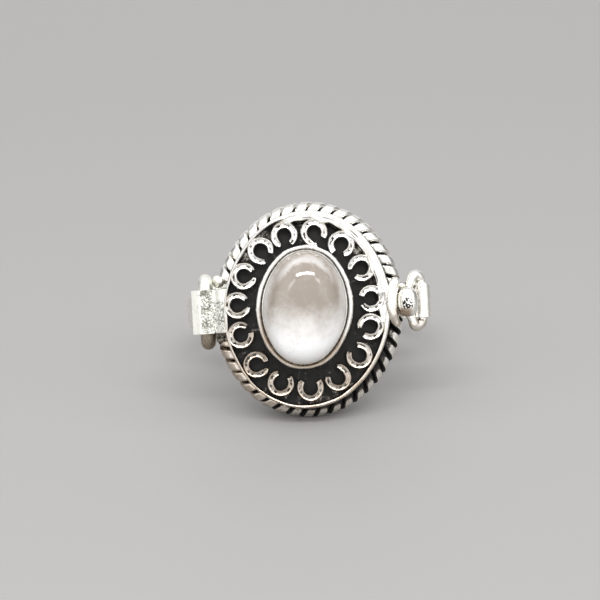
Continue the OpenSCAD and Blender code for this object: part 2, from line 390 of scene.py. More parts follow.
class Finish:
    """A procedural material, with short names for its nodes."""

    def __init__(self, name):
        self.material = bpy.data.materials.new(name)
        self.material.use_nodes = True
        self.tree = self.material.node_tree
        self.shader = self.tree.nodes["Principled BSDF"]
        self.place = self.tree.nodes.new("ShaderNodeTexCoord").outputs["Object"]

    def node(self, kind, **inputs):
        node = self.tree.nodes.new(kind)
        for key, value in inputs.items():
            self.put(node.inputs[key], value)
        return node

    def put(self, socket, value):
        if isinstance(value, bpy.types.NodeSocket):
            self.tree.links.new(value, socket)
        else:
            socket.default_value = value

    def set(self, **inputs):
        for key, value in inputs.items():
            self.put(self.shader.inputs[key.replace("_", " ")], value)

    def noise(self, size_mm, detail, roughness=0.55, distortion=0.0, length=1.0, lean=0.0):
        """Noise from 0 to 1, its lumps about size_mm wide and length times as high, leaning by an angle."""
        place = self.place
        if length != 1:
            stretch = self.node("ShaderNodeMapping", Vector=place)
            stretch.vector_type = "TEXTURE"
            stretch.inputs["Rotation"].default_value = (0, lean, 0)
            stretch.inputs["Scale"].default_value = (1, 1, length)
            place = stretch.outputs[0]
        node = self.node("ShaderNodeTexNoise", Vector=place, Scale=1 / (size_mm * MM), Detail=detail)
        node.inputs["Roughness"].default_value = roughness
        node.inputs["Distortion"].default_value = distortion
        return node.outputs["Fac"]

    def value(self, key):
        """A value that the mesh carries for each point."""
        node = self.tree.nodes.new("ShaderNodeAttribute")
        node.attribute_name = key
        return node.outputs["Fac"]

    def math(self, operation, a, b=0.0, clamp=False):
        node = self.tree.nodes.new("ShaderNodeMath")
        node.operation = operation
        node.use_clamp = clamp
        self.put(node.inputs[0], a)
        self.put(node.inputs[1], b)
        return node.outputs[0]

    def ramp(self, value, low, high, to_low=0.0, to_high=1.0):
        """A value eased from one range to another, and held outside it."""
        node = self.tree.nodes.new("ShaderNodeMapRange")
        node.interpolation_type = "SMOOTHSTEP"
        for i, x in enumerate((value, low, high, to_low, to_high)):
            self.put(node.inputs[i], x)
        return node.outputs[0]

    def mix(self, factor, a, b):
        node = self.tree.nodes.new("ShaderNodeMix")
        node.data_type = "RGBA"
        self.put(node.inputs[0], factor)
        for socket, value in ((node.inputs[6], a), (node.inputs[7], b)):
            self.put(socket, value if isinstance(value, bpy.types.NodeSocket) else (*value, 1.0))
        return node.outputs[2]

    def around_zero(self, noise, scale):
        """Noise brought round zero and scaled."""
        return self.math("MULTIPLY", self.math("SUBTRACT", noise, 0.5), scale)

    def bump(self, height, depth_mm, after=None):
        node = self.node("ShaderNodeBump", Height=height, Distance=depth_mm * MM)
        if after is not None:
            self.put(node.inputs["Normal"], after)
        return node.outputs["Normal"]


def tinted(colour, tint):
    return tuple(c * k for c, k in zip(colour, tint))


def silver(name, rough, bright=(0.94, 0.93, 0.895)):
    """Silver, black where its wear value is low, bright where it is high, and browned by real tarnish and
    by a painted reflection of a brown floor.
    """
    f = Finish(name)
    cloud = f.noise(0.9, 4)
    fleck = f.noise(0.13, 4, 0.65)
    worn = f.ramp(f.math("ADD", f.value("wear"), f.around_zero(fleck, 0.6)), 0.15, 0.55)
    clean = f.mix(f.ramp(cloud, 0.35, 0.7), bright, tinted(bright, (0.95, 0.93, 0.89)))
    # Brown from real tarnish and from a painted reflection of a brown floor.
    brown = f.math("MULTIPLY", f.value("tarnish_and_painted_reflection"), f.ramp(cloud, 0.3, 0.65, 0.8, 1.0))
    metal = f.mix(brown, clean, tinted(bright, (0.4, 0.305, 0.22)))
    black = f.mix(f.ramp(worn, 0.0, 0.6), (0.017, 0.016, 0.015), (0.27, 0.24, 0.205))
    f.set(Base_Color=f.mix(f.ramp(worn, 0.35, 1.0), black, metal))
    f.set(Metallic=f.ramp(worn, 0.0, 0.4, 0.2, 1.0), Specular_IOR_Level=0.2)
    soft = f.ramp(f.noise(0.5, 4), 0.3, 0.75, rough * 0.75, rough * 1.5)
    f.set(Roughness=f.math("ADD", soft, f.ramp(worn, 0.0, 0.7, 0.3, 0.0)))
    f.set(Normal=f.bump(fleck, 0.005, after=f.bump(cloud, 0.012)))
    return f.material


def stippled_silver(name):
    """Silver with fine dark dents, thickest where the wear value is high, as on a hammered strap."""
    f = Finish(name)
    fine = f.noise(0.062, 3, 0.65, length=1.9, lean=math.radians(-42))
    mid = f.noise(0.2, 3, 0.6)
    dent = f.math("ADD", f.math("MULTIPLY", fine, 0.72), f.math("MULTIPLY", mid, 0.28))
    dark = f.ramp(f.math("ADD", dent, f.math("MULTIPLY", f.value("wear"), 0.16)), 0.59, 0.66)
    lines = f.noise(0.09, 3, 0.6, length=20)
    plain = f.mix(f.ramp(lines, 0.35, 0.65), (0.83, 0.82, 0.74), (0.97, 0.96, 0.89))
    f.set(Base_Color=f.mix(dark, plain, (0.17, 0.17, 0.135)), Metallic=1.0)
    f.set(Roughness=f.ramp(dark, 0.0, 1.0, 0.3, 0.5))
    f.set(Normal=f.bump(dark, -0.006, after=f.bump(mid, 0.008)))
    return f.material


def rose_quartz(name, low, high, top):
    """Milky quartz, whitened from the height high down to low as a painted glow of the light the dome
    gathers there, with a painted highlight arch up to the height top and a painted reflection near its
    edge.

    Heights are in metres. The wear value is 0 at the middle of the dome and 1 at its edge.
    """
    f = Finish(name)
    height = f.node("ShaderNodeSeparateXYZ", Vector=f.place).outputs[2]
    cloud = f.noise(1.8, 5, 0.55, 0.4)
    wisp = f.noise(0.8, 5, 0.6, 0.7)
    # Painted glow: the lower part is whitened for the light the dome gathers there.
    painted_glow = f.ramp(f.math("ADD", height, f.around_zero(cloud, 2.2 * MM)), low, high, 1.0, 0.0)
    out = f.math("ADD", f.value("wear"), f.around_zero(wisp, 0.25))
    # Painted highlight: a pale arch near the top, following the oval.
    painted_highlight_arch = f.math("SUBTRACT", f.ramp(out, 0.62, 0.7), f.ramp(out, 0.74, 0.84))
    painted_highlight_arch = f.math("MULTIPLY", painted_highlight_arch, f.ramp(height, high, top, 0.0, 0.4))
    # Painted reflection: a pale ring just inside the stone's edge.
    rim = f.ramp(f.value("wear"), 0.72, 0.95, 0.0, 0.45)
    rim = f.math("MULTIPLY", rim, f.ramp(height, high, top, 1.0, 0.3))
    milkiness_and_painted_light = f.math("MAXIMUM", painted_glow, f.math("ADD", rim, painted_highlight_arch))
    milkiness_and_painted_light = f.math("ADD", milkiness_and_painted_light, f.around_zero(wisp, 0.35), clamp=True)
    colour = f.mix(milkiness_and_painted_light, (0.32, 0.275, 0.23), (0.99, 0.985, 0.975))
    speck = f.ramp(f.noise(0.16, 1, 0.5), 0.7, 0.75, 0.0, 0.4)
    f.set(Base_Color=f.mix(speck, colour, (0.2, 0.16, 0.15)))
    f.set(Roughness=0.06, IOR=1.54, Coat_Weight=0.5, Coat_Roughness=0.03)
    f.set(Subsurface_Weight=0.5, Subsurface_Radius=(1.0, 0.85, 0.8), Subsurface_Scale=1.5 * MM)
    return f.material


PLAIN = silver("polished_silver", 0.26)
RAISED = silver("oxidised_silver", 0.24, (0.89, 0.88, 0.85))
SATIN = silver("satin_silver", 0.45, (0.94, 0.94, 0.89))
STIPPLED = stippled_silver("stippled_silver")


# Base: band, box, hinge staple, catch strap and rope

def band():
    """Half-round band, turned about the finger's axis."""
    half = BAND_W / 2
    rise = BAND_T - BAND_EDGE_T
    crown_r = (rise ** 2 + half ** 2) / 2 / rise
    crown_at = FINGER_R + BAND_T - crown_r
    corner = []
    for k in range(5):
        a = math.pi / 2 * k / 4
        y = half - BAND_CORNER_R * (1 - math.sin(a))
        corner.append((y, FINGER_R + BAND_CORNER_R * (1 - math.cos(a))))
    crown = []
    for k in range(13):
        y = 0.985 * half * (1 - k / 6)
        crown.append((y, crown_at + math.sqrt(crown_r ** 2 - y ** 2)))
    inside = [(y, FINGER_R) for y in (-0.7, 0, 0.7)]
    section = corner + crown + [(-y, r) for y, r in reversed(corner)] + inside
    turns = 288
    frames = []
    for i in range(turns):
        a = TAU * i / turns
        frames.append((Vector((0, 0, 0)), Vector((0, 1, 0)), Vector((math.sin(a), 0, math.cos(a)))))
    shape = Shape()
    shape.sweep(frames, [(y, r, 0.95) for y, r in section], closed=True)
    shape.piece("band", "base", PLAIN, "ring_base", wobble=0.012, wobble_size=1.4)


def oval_rings(at, rows):
    """Rings through places round an oval, from rows of (distance out from it, height, wear)."""
    return [[p + g * d + UP * h for p, g in at] for d, h, _ in rows]


def box():
    """Oval cup on the band, a little tarnished inside."""
    n = 160
    top = BOX_TOP_H
    floor_top = BACK_H + BOX_T
    outside = [
        # distance out from the oval, height, wear
        (-3.0, BACK_H, 0.7), (-0.3, BACK_H, 0.6), (-0.1, BACK_H + 0.02, 0.6), (-0.02, BACK_H + 0.1, 0.6),
        (0, BACK_H + 0.3, 0.6), (0, BACK_H + 1.0, 0.55), (0, ROPE_H - ROPE_D / 2, 0.2),
        (0, ROPE_H + 0.5, 0.15), (0, top - 0.12, 0.5), (-0.03, top - 0.03, 0.9), (-0.1, top, 0.9),
        (-BOX_T + 0.1, top, 0.9), (-BOX_T + 0.03, top - 0.03, 0.9),
    ]
    inside = [
        (-BOX_T, top - 0.12, 0.7), (-BOX_T, floor_top + 0.3, 0.4), (-BOX_T - 0.08, floor_top + 0.08, 0.3),
        (-BOX_T - 0.3, floor_top, 0.35), (-BOX_T - 1.1, floor_top, 0.5), (-3.6, floor_top, 0.55),
    ]
    rows = outside + inside
    tips = (UP * BACK_H, UP * floor_top)
    shape = Shape()
    shape.rings(oval_rings(BOX_OVAL.around(n), rows), [w for _, _, w in rows], tips, BOX_OVALS)
    first = n * len(outside)
    shape.tarnish_and_painted_reflection = [0.5 * (i >= first) * smooth((top - p.z) / 0.8) for i, p in enumerate(shape.points)]
    shape.piece("box", "base", RAISED, "ring_base", wobble=0.01)


def hinge_staple():
    """Round wire: the hinge pin in front, and two legs that run back and inwards to the box's wall."""
    leg = (STAPLE_L - PIN_D) / 2
    foot_x, foot_y, foot_h = -5.45, leg - 0.8, BACK_H + 1.15
    bend_h = HINGE_H - 1.35
    half = [
        (foot_x, foot_y, foot_h), (HINGE_X, foot_y, foot_h),
        (HINGE_X, leg, bend_h), (HINGE_X, leg, HINGE_H),
    ]
    corners = [(x, -y, z) for x, y, z in half] + half[::-1]
    bends = [0.5, 0.5, PIN_D / 2, PIN_D / 2, 0.5, 0.5]
    shape = Shape()
    shape.wire(resampled(bent(corners, bends, 10), 0.12), PIN_D, 32, tip=CUT_TIP)
    # Painted brown floor reflection, with darker silver, on the lower leg.
    shape.tarnish_and_painted_reflection = [smooth((-p.y - 1.3) / 0.5) for p in shape.points]
    shape.wear = [1 - 0.62 * t for t in shape.tarnish_and_painted_reflection]
    shape.piece("hinge_staple", "base", SATIN, "ring_base", wobble=0.01, wobble_size=0.8)


def strap_section(w, t, columns):
    """Flat strip with rounded edges: (side, up, wear) all round."""
    half_w, half_t, edge = w / 2, t / 2, 0.07
    flat = half_w - edge
    top = [(-flat + 2 * flat * k / columns, half_t) for k in range(columns + 1)]
    quarter = [(edge * math.sin(a), edge * math.cos(a)) for a in (0.4, 0.8, 1.2)]
    upper = [(flat + x, half_t - edge + y) for x, y in quarter]
    side = [(half_w, half_t - edge), (half_w, -half_t + edge)]
    lower = [(flat + y, -half_t + edge - x) for x, y in quarter]
    half = top + upper + side + lower
    return [(x, y, 1.0) for x, y in half + [(-x, -y) for x, y in half]]


def roll(x, z, r, first, last, steps):
    """Points round a centre, seen along Y, from one angle to another in degrees."""
    angles = [math.radians(first + (last - first) * k / steps) for k in range(steps + 1)]
    return [Vector((x + r * math.cos(a), 0, z + r * math.sin(a))) for a in angles]


def strap_frames(path):
    """Frames along a path in the XZ plane, their side along Y."""
    frames = []
    for i, p in enumerate(path):
        on = (path[min(i + 1, len(path) - 1)] - path[max(i - 1, 0)]).normalized()
        side = Vector((0, 1, 0))
        frames.append((p, side, on.cross(side)))
    return frames


def catch_strap():
    """Strap from the box's wall out behind the rope, forward, and rolled over the link to a spiral end.

    Its rolled end is pitted and a little narrower, and its upper right corner tapers.
    """
    r = LINK_D / 2 + FIT + CATCH_STRAP_T / 2
    run_h = BACK_H + 1.3 + CATCH_STRAP_T / 2
    right = CATCH_X + r
    path = resampled(bent([(5.65, 0, run_h), (right, 0, run_h), (right, 0, CATCH_H)], [0.35], 8), 0.08)
    path += roll(CATCH_X, CATCH_H, r, 0, 285, 59)[1:]
    shape = Shape()
    shape.sweep(strap_frames(path), strap_section(CATCH_STRAP_W, CATCH_STRAP_T, 40))
    for i, p in enumerate(shape.points):
        pitted = smooth((CATCH_X + 0.2 - p.x) / 0.25) * smooth((p.y + 0.7) / 0.6)
        shape.wear[i] = 0.95 - 0.55 * pitted * smooth((jitter(p + UP, 0.14) + 0.02) / 0.12)
        p.y *= 1 - 0.05 * smooth((CATCH_X - 0.15 - p.x) / 0.2)
        if p.y > 0:
            p.y -= 0.3 * smooth((p.x - CATCH_X - 0.2) / 0.5) * smooth(p.y / (CATCH_STRAP_W / 2)) ** 2
    shape.piece("catch_strap", "base", PLAIN, "ring_base", wobble=0.009, wobble_size=0.6)


def half_round(r, corner, gap):
    """Half of a round wire's section, flat at the left, its two edges rounded: (x, y, angle round it)."""
    cx = gap + corner
    cy = math.sqrt((r - corner) ** 2 - cx ** 2)
    end = math.atan2(cy, cx)
    top = []
    for k in range(5):
        a = end + (math.pi - end) * (k + 1) / 5
        top.append((cx + corner * math.cos(a), cy + corner * math.sin(a), a))
    columns = 9
    arc = [end * (2 * k / columns - 1) for k in range(columns + 1)]
    low = [(x, -y, -a) for x, y, a in reversed(top)]
    return low + [(r * math.cos(a), r * math.sin(a), a) for a in arc] + top


def strand_tone(a, turn, black, brown):
    """Wear and painted floor reflection at the angle a round a strand, black in the slits and brightest on
    the crowns; black also sets painted shade, strongest on the inward side.
    """
    facing = math.cos(turn + a)
    outer = smooth((facing + 0.75) / 0.9) * (1 - black)
    bare = math.radians(106 - 38 * black + 80 * outer)
    lit = 1 - black * smooth((facing - 0.1) / 0.6)
    wear = smooth((bare - abs(a)) / (0.4 + 0.3 * black)) * (1 - (0.1 * brown + 0.78 * black) * lit)
    return wear, 0.8 * brown * (1 - 0.7 * black * (1 - lit))


def rope():
    """Two wires twisted tightly together round the box, open at the hinge, with painted shade making it
    blackest at the lower right.
    """
    opening = OVAL_SHIFT - ROPE_OVAL.a * math.sin(OVAL_TURN)
    start = ROPE_OVAL.length / 2 + opening + ROPE_OPENING / 2
    run = ROPE_OVAL.length - ROPE_OPENING
    steps = round(run / ROPE_PITCH * 18)
    corner, gap = 0.29, 0.008
    section = half_round(ROPE_D / 2 - 0.005, corner, gap)
    for strand in range(2):
        frames = []
        sizes = []
        tones = []
        for i in range(steps + 1):
            s = start + run * i / steps
            p, g = ROPE_OVAL.at(s)
            turn = math.pi * (s / ROPE_PITCH + strand) + 0.3 * jitter((s, strand * 9, 4), 2.5)
            side = g * math.cos(turn) + UP * math.sin(turn)
            frames.append((p + UP * ROPE_H, side, UP * math.cos(turn) - g * math.sin(turn)))
            from_end = min(i, steps - i) * run / steps
            sizes.append((0.6 + 0.4 * smooth(from_end / 0.3)) * (1 + 0.03 * jitter((s, strand, 8), 0.9)))
            # Painted shade: the rope darkens towards the lower right, most on the strands' inward faces.
            black = smooth(0.2 + 0.8 * g.dot(SHADED_SIDE))
            tones += [strand_tone(a, turn, black, painted_floor_reflection(p)) for _, _, a in section]
        shape = Shape()
        shape.sweep(frames, section, sizes, place=BOX_OVALS)
        shape.wear = [wear for wear, _ in tones]
        shape.tarnish_and_painted_reflection = [tarnish_and_painted_reflection for _, tarnish_and_painted_reflection in tones]
        name = f"rope_strand_{strand + 1}"
        shape.piece(name, "base", RAISED, "rope_border", wobble=0.008, wobble_size=0.4)


# Lid: tray, scrolls, bezel, stone, hinge strap and curved wire

# The picture's own axes about the lid's centre, seen along the head's axis
PICTURE_TURN = math.radians(3.2)
PICTURE = Matrix.Translation((0, OVAL_SHIFT, 0)) @ Matrix.Rotation(-PICTURE_TURN, 4, "Z")
SCROLL_AT = Vector((-0.19, -0.03, 0))
SCROLL_OVAL_W = 10.54
SCROLL_OVAL_L = 12.26
SCROLL_D = 2.14
SCROLL_WIRE_W = 0.54
SCROLL_WIRE_T = 0.76
SCROLL_HOLE_R = 0.62
SCROLLS = (
    # place on the oval, turn of the opening from the middle, its width, in degrees, stray of the last end
    (82, 44, 50, 0.22), (57, 14, 60, 0.03), (32.6, -4, 50, 0.1), (8.4, 0, 50, 0.0),
    (-12.3, 44, 45, 0.05), (-35.7, -10, 60, 0.04), (-60, 19, 80, 0.1), (-85, -4, 100, 0.03),
    (-110.7, -3, 70, 0.0), (-135.6, -49, 40, 0.05), (-161.2, 14, 45, 0.02), (176.7, 17, 45, 0.08),
    (154.5, 40, 40, 0.05), (130.8, 13, 55, 0.12), (107.7, -4, 60, 0.06),
)


def scroll_place(place):
    """A scroll's centre from the middle of their oval."""
    a = math.radians(place)
    return Vector((SCROLL_OVAL_W / 2 * math.cos(a), SCROLL_OVAL_L / 2 * math.sin(a), 0))


def floor_h(out):
    """Height of the lid's floor at a distance out from its outline: it rises a little towards the stone."""
    return FLOOR_H + 0.16 * smooth((-out - 0.4) / 2.4)


def rim_point(p, g, e):
    """Point and wear of the lid's inner side, at the distance e in from the rim's own thickness.

    Solder fills the corner inside the rim at the upper right. The rim's face is bright, with painted shade
    at its left and right and a painted floor reflection at the lower left, and the floor is black, with
    painted light making it a little lighter towards the top.
    """
    rim = RIM_T * (0.86 + 0.22 * g.x + 0.1 * g.y + 0.18 * jitter(p, 1.6))
    flood = smooth((g.dot(FLOODED_SIDE) + 0.3 * jitter(p, 1.8) - 0.3) / 0.4)
    wall = 1 - smooth((e + 0.02) / 0.1)
    pool = (1 - smooth((e - 0.42 - 0.25 * jitter(p + UP * 5, 0.9)) / 0.35)) * 0.98
    part = wall + (max(wall, pool) - wall) * flood
    low = floor_h(-rim - e)
    crown = 0.045 * smooth((e + 0.14) / 0.14) * (1 - 1.4 * flood)
    h = low + (RIM_H - crown - low) * part
    streak = jitter((math.atan2(g.y, g.x) * 4, e * 16, 2), 1)
    filled = flood * (0.84 + 1.3 * streak) * smooth((part - 0.1) / 0.4)
    # Painted light: the floor is a little lighter towards the top.
    ground = 0.14 + 0.09 * smooth(g.y * 2) + 0.27 * jitter(p * 2 + UP * e, 1.1)
    # Painted shade: the rim's face is dimmed at the lower left, by the painted floor reflection, and at the
    # left and right sides.
    dimmed = (0.25 * painted_floor_reflection(p) + 0.1 * abs(g.x)) * (1 - flood)
    face = smooth((part - 0.6) / 0.35) * (wall > 0.5) * (1 - dimmed)
    return p - g * (rim + e) + UP * h, max(face, filled, ground)


def lid_tray():
    """Back plate, wall, rim and floor in one."""
    at = LID_OVAL.around(320)
    outside = [
        # distance out from the oval, height, wear
        (-3.0, LID_BACK_H, 0.8), (-0.4, LID_BACK_H, 0.75), (-0.1, LID_BACK_H + 0.01, 0.8),
        (-0.02, LID_BACK_H + 0.07, 0.85), (0, LID_BACK_H + 0.2, 0.75), (0, LID_BACK_H + 0.7, 0.7),
        (0, RIM_H - 0.2, 0.9), (-0.015, RIM_H - 0.1, 1), (-0.045, RIM_H - 0.05, 1),
        (-0.09, RIM_H - 0.018, 1), (-0.13, RIM_H - 0.004, 1),
    ]
    rings = oval_rings(at, outside)
    # Painted shade: the rim's top face is darker at the left and right sides.
    wear = [w - 0.1 * abs(g.x) * (w == 1) for _, _, w in outside for _, g in at]
    for e in [-0.12, -0.08, -0.04, -0.015, 0, 0.02, 0.05] + [0.08 + 0.03 * k for k in range(30)]:
        ring = [rim_point(p, g, e) for p, g in at]
        rings.append([p for p, _ in ring])
        wear += [w for _, w in ring]
    middle = 3.2
    for d in (1.6, 1.9, 2.2, 2.5, 2.8, middle):
        rings.append([p - g * d + UP * floor_h(-d) for p, g in at])
        wear += [0.12 + 0.2 * jitter(p * 2 + UP * d, 0.9) for p, _ in at]
    shape = Shape()
    tips = (UP * LID_BACK_H, UP * floor_h(-middle))
    shape.rings(rings, tips=tips, place=OVALS)
    shape.wear = wear + [0.8, 0.0]
    holes = [PICTURE @ (SCROLL_AT + scroll_place(place)) for place, *_ in SCROLLS]
    # Painted shadow: the floor is made black inside the scroll holes.
    for i, p in enumerate(shape.points):
        if p.z > LID_BACK_H + 0.3:
            near = min((p - hole).xy.length for hole in holes)
            shape.wear[i] *= smooth((near - SCROLL_HOLE_R + 0.12) / 0.12)
    # Painted brown floor reflection on the rim, towards the lower left.
    shape.tarnish_and_painted_reflection = [0.85 * painted_floor_reflection(p) * (p.z > RIM_H - 0.4) for p in shape.points]
    shape.piece("lid_tray", "lid", RAISED, "lid", wobble=0.012)


def scroll_frames(row, place, skew, opening, stray):
    """Frames round one open ring, which faces the stone. Its last end strays outwards and thins."""
    at = scroll_place(place)
    facing = math.atan2(-at.y, -at.x) + math.radians(skew)
    first = facing + math.radians(opening) / 2
    turn = TAU - math.radians(opening)
    mean_r = (SCROLL_D - SCROLL_WIRE_W) / 2
    steps = 56
    frames = []
    for k in range(steps + 1):
        f = k / steps
        b = first + turn * f
        out = Vector((math.cos(b), math.sin(b), 0))
        r = mean_r * (1 + 0.035 * jitter((f * 2, row * 7, 3), 0.6)) + stray * smooth((f - 0.8) / 0.2) ** 2
        h = FLOOR_H + SCROLL_WIRE_T + 0.03 * jitter((row, f, 0), 0.7)
        thinned = 0.3 * smooth((f - 0.93) / 0.07) * (stray > 0.04) + 0.12 * smooth((0.05 - f) / 0.05)
        uneven = 1 + 0.08 * jitter((row * 3, k * 0.08, 5), 1)
        frames.append((SCROLL_AT + at + out * r + UP * h, out * (uneven * (1 - thinned)), UP))
    return frames


def scrolls():
    """Open rings of flattened wire with a groove, darkened partly by oxide and partly as a painted
    reflection, each soldered down between the bezel and the rim.
    """
    half = SCROLL_WIRE_W / 2
    side = [
        (half, 0, 0), (half, 0.4, 0.1), (half, 0.62, 0.5), (half - 0.03, 0.71, 1),
        (half - 0.09, SCROLL_WIRE_T, 1),
    ]
    # The top's middle is darker: oxide in the groove, and a painted dark reflection along the wire's
    # middle.
    top = [(half - 0.12, 0.755, 0.9), (0.09, 0.715, 0.47), (0.02, 0.70, 0.42)]
    section = side + top + [(-x, y, w) for x, y, w in reversed(side + top)]
    section = [(x, y - SCROLL_WIRE_T, w) for x, y, w in section]
    groove = range(len(side) + 1, len(section) - len(side) - 1)
    shape = Shape()
    for row, scroll in enumerate(SCROLLS):
        start = len(shape.points)
        shape.sweep(scroll_frames(row, *scroll), section, place=PICTURE)
        for i in range(start, len(shape.points)):
            if (i - start) % len(section) in groove:
                shape.wear[i] += 0.42 * jitter(shape.points[i] + UP * row, 0.24)
            # Painted brown floor reflection, with darker silver, towards the lower left.
            shape.wear[i] *= 1 - 0.2 * painted_floor_reflection(shape.points[i])
    shape.tarnish_and_painted_reflection = [0.8 * painted_floor_reflection(p) for p in shape.points]
    shape.piece("scrolls", "lid", RAISED, "lid", wobble=0.015, wobble_size=0.35)


def bezel():
    """Strip of silver round the stone, its top burnished over it in two bands with a groove between."""
    at = BEZEL_OVAL.around(240)
    top = BEZEL_H
    groove = 0.18
    rows = [
        # distance out from the oval, height, wear, share of the painted brown floor reflection
        (0.0, FLOOR_H - 0.05, 0.0, 0.55), (0.0, FLOOR_H + 0.35, 0.1, 0.55), (0.0, top - 0.75, 0.45, 0.55),
        (0.0, top - 0.4, 0.85, 0.55), (-0.02, top - 0.2, 1, 0.55), (-0.06, top - 0.09, 1, 0.55),
        (-0.13, top - 0.04, 1, 0.55), (-0.22, top - 0.03, 1, 1), (-0.29, top - 0.05, 0.95, 1),
        (-0.33, top - 0.08, 0.6, 1), (-0.36, top - 0.12, groove, 1), (-0.45, top - 0.13, groove, 1),
        (-0.48, top - 0.1, 0.6, 1), (-0.51, top - 0.07, 0.95, 0.7), (-0.54, top - 0.07, 0.95, 0.7),
        # From here in, the lip's inner edge against the stone is black as a painted shadow.
        (-0.57, top - 0.1, 0.3, 0.7), (-0.56, top - 0.16, 0.0, 0.7), (-0.42, top - 0.3, 0.0, 1),
        (-0.34, FLOOR_H + 0.1, 0.0, 1),
    ]
    rings = []
    wear = []
    browned = []
    for d, h, w, brown in rows:
        ring = []
        for p, g in at:
            uneven = 0.04 * jitter(p + Vector((7, 3, 0)), 1.1)
            uneven *= smooth((h - FLOOR_H) / 1.2) * smooth((d + 0.6) / 0.5)
            out = d * (0.82 + 0.18 * g.x ** 2) + uneven
            ring.append(p + g * out + UP * (h + 0.03 * jitter(p, 1.4)))
            wear.append(w + 0.08 * abs(g.y) * (w == groove))
            browned.append(brown)
        rings.append(ring)
    shape = Shape()
    shape.rings(rings, place=OVALS @ Matrix.Translation(BEZEL_AT))
    shape.wear = wear
    # Painted brown floor reflection, towards the lower left.
    shape.tarnish_and_painted_reflection = [brown * painted_floor_reflection(p - BEZEL_AT) for brown, p in zip(browned, shape.points)]
    shape.piece("bezel", "lid", RAISED, "lid", wobble=0.01, wobble_size=0.5)


def stone():
    """Oval cabochon, fuller along its length than across it."""
    at = STONE_OVAL.around(144)
    levels = 60
    slimmer = 0.985
    # How full the dome is across and along the oval, where 2 is an ellipse
    full_across, full_along = 2.2, 2.9
    rows = [(0.97, 0.97, FLOOR_H + 0.05), (0.985, 0.99, FLOOR_H + 0.1)]
    for k in range(levels):
        z = math.sin(math.pi / 2 * k / levels)
        wide = (1 - z ** full_across) ** (1 / full_across)
        long = (1 - z ** full_along) ** (1 / full_along)
        rows.append((wide, long, GIRDLE_H + DOME_T * z))
    rings = [[Vector((p.x * wide * slimmer, p.y * long, h)) for p, _ in at] for wide, long, h in rows]
    tips = (UP * (FLOOR_H + 0.05), UP * (GIRDLE_H + DOME_T))
    shape = Shape()
    shape.rings(rings, [wide for wide, _, _ in rows], tips, OVALS @ Matrix.Translation(BEZEL_AT))
    # Heights of the painted glow's low and high ends and of the painted highlight's top.
    low = (HEAD @ Vector((0, -3.5, GIRDLE_H + 2.8))).z
    high = (HEAD @ Vector((0, 0.8, GIRDLE_H + 3.5))).z
    top = (HEAD @ Vector((0, 3.4, GIRDLE_H + 2.6))).z
    quartz = rose_quartz("rose_quartz", low, high, top)
    shape.piece("cabochon", "lid", quartz, "stone", sharp=60)


def hinge_strap():
    """Strap from the lid's edge, rolled round the staple's front bar and hammered flat on three sides."""
    r = PIN_D / 2 + FIT + HINGE_STRAP_T / 2
    outer = r + HINGE_STRAP_T / 2
    path = roll(HINGE_X, HINGE_H, r, 370, 90, 60)
    end_x = -LID_W / 2 + 0.25
    for k in range(1, 25):
        x = HINGE_X + (end_x - HINGE_X) * k / 24
        path.append(Vector((x, 0, HINGE_H + r + 0.45 * smooth((x + 7.25) / 0.85))))
    shape = Shape()
    shape.sweep(strap_frames(path), strap_section(HINGE_STRAP_W, HINGE_STRAP_T, 28))
    flats = (
        # direction on X and Z, distance from the pin's axis
        (0, 1, outer - 0.06), (-0.569, 0.822, outer + 0.007), (-1, 0, outer - 0.005),
    )
    for i, p in enumerate(shape.points):
        x, z = p.x - HINGE_X, p.z - HINGE_H
        out = math.hypot(x, z)
        if out > r and z > 0 and p.x < -7.3:
            reach = min(far / max((x * fx + z * fz) / out, 0.01) for fx, fz, far in flats)
            p.x, p.z = HINGE_X + x / out * reach, HINGE_H + z / out * reach
        thick = 0.75 + 0.6 * jitter(p, 0.9) + 0.2 * smooth((p.y - 1.1) / 0.4) * smooth((-7.6 - p.x) / 0.3)
        bare = smooth((p.y - 0.3 + 0.5 * jitter(p, 1.1)) / 0.5) * smooth((p.x + 7.5) / 0.3)
        shape.wear[i] = thick * smooth((p.x + 8.38) / 0.08) * (1 - bare) * smooth((-6.42 - p.x) / 0.12)
    shape.piece("hinge_strap", "lid", STIPPLED, "lid", wobble=0.012, wobble_size=0.7)


def crescent():
    """Curved wire on the lid's right edge, which the catch's ball snaps against."""
    first_y, run = 1.55, 3.3
    bow_x, bow_y, bow = 6.62, -0.165, 0.132
    points = []
    sizes = []
    for k in range(41):
        f = k / 40
        y = first_y - run * f
        points.append(Vector((bow_x + bow * (y - bow_y) ** 2, y, LID_BACK_H + 1.25)))
        sizes.append(0.84 + 0.18 * math.sin(math.pi * f) - 0.28 * smooth((f - 0.75) / 0.25))
    shape = Shape()
    shape.wire(points, CRESCENT_D, 24, sizes=sizes)
    # Painted brown floor reflection, with darker silver, towards its lower end.
    shape.tarnish_and_painted_reflection = [0.6 * smooth((0.3 - p.y + 0.5 * jitter(p, 0.5)) / 1.8) for p in shape.points]
    shape.wear = [0.95 - 0.2 * t for t in shape.tarnish_and_painted_reflection]
    shape.piece("crescent", "lid", PLAIN, "lid", wobble=0.03, wobble_size=0.5)


def solder_and_grains():
    """The lump of solder beside the curved wire, and the grains at the rope's two ends."""
    lump = Shape()
    lump.blob((7.5, 1.25, RIM_H - 0.1), 0.22, (1, 0.9, 0.8), 0.25)
    lump.piece("lid_solder", "lid", SATIN, "lid")
    grains = Shape()
    grains.blob((-6.88, 2.36, ROPE_H + 0.15), 0.5, (1, 1, 0.8), 0.2, 0.75)
    grains.blob((-6.9, -2.25, ROPE_H + 0.15), 0.36, (1, 1, 1), 0.2, 0.35)
    grains.piece("rope_grains", "base", SATIN, "rope_border")


# Catch: link and ball

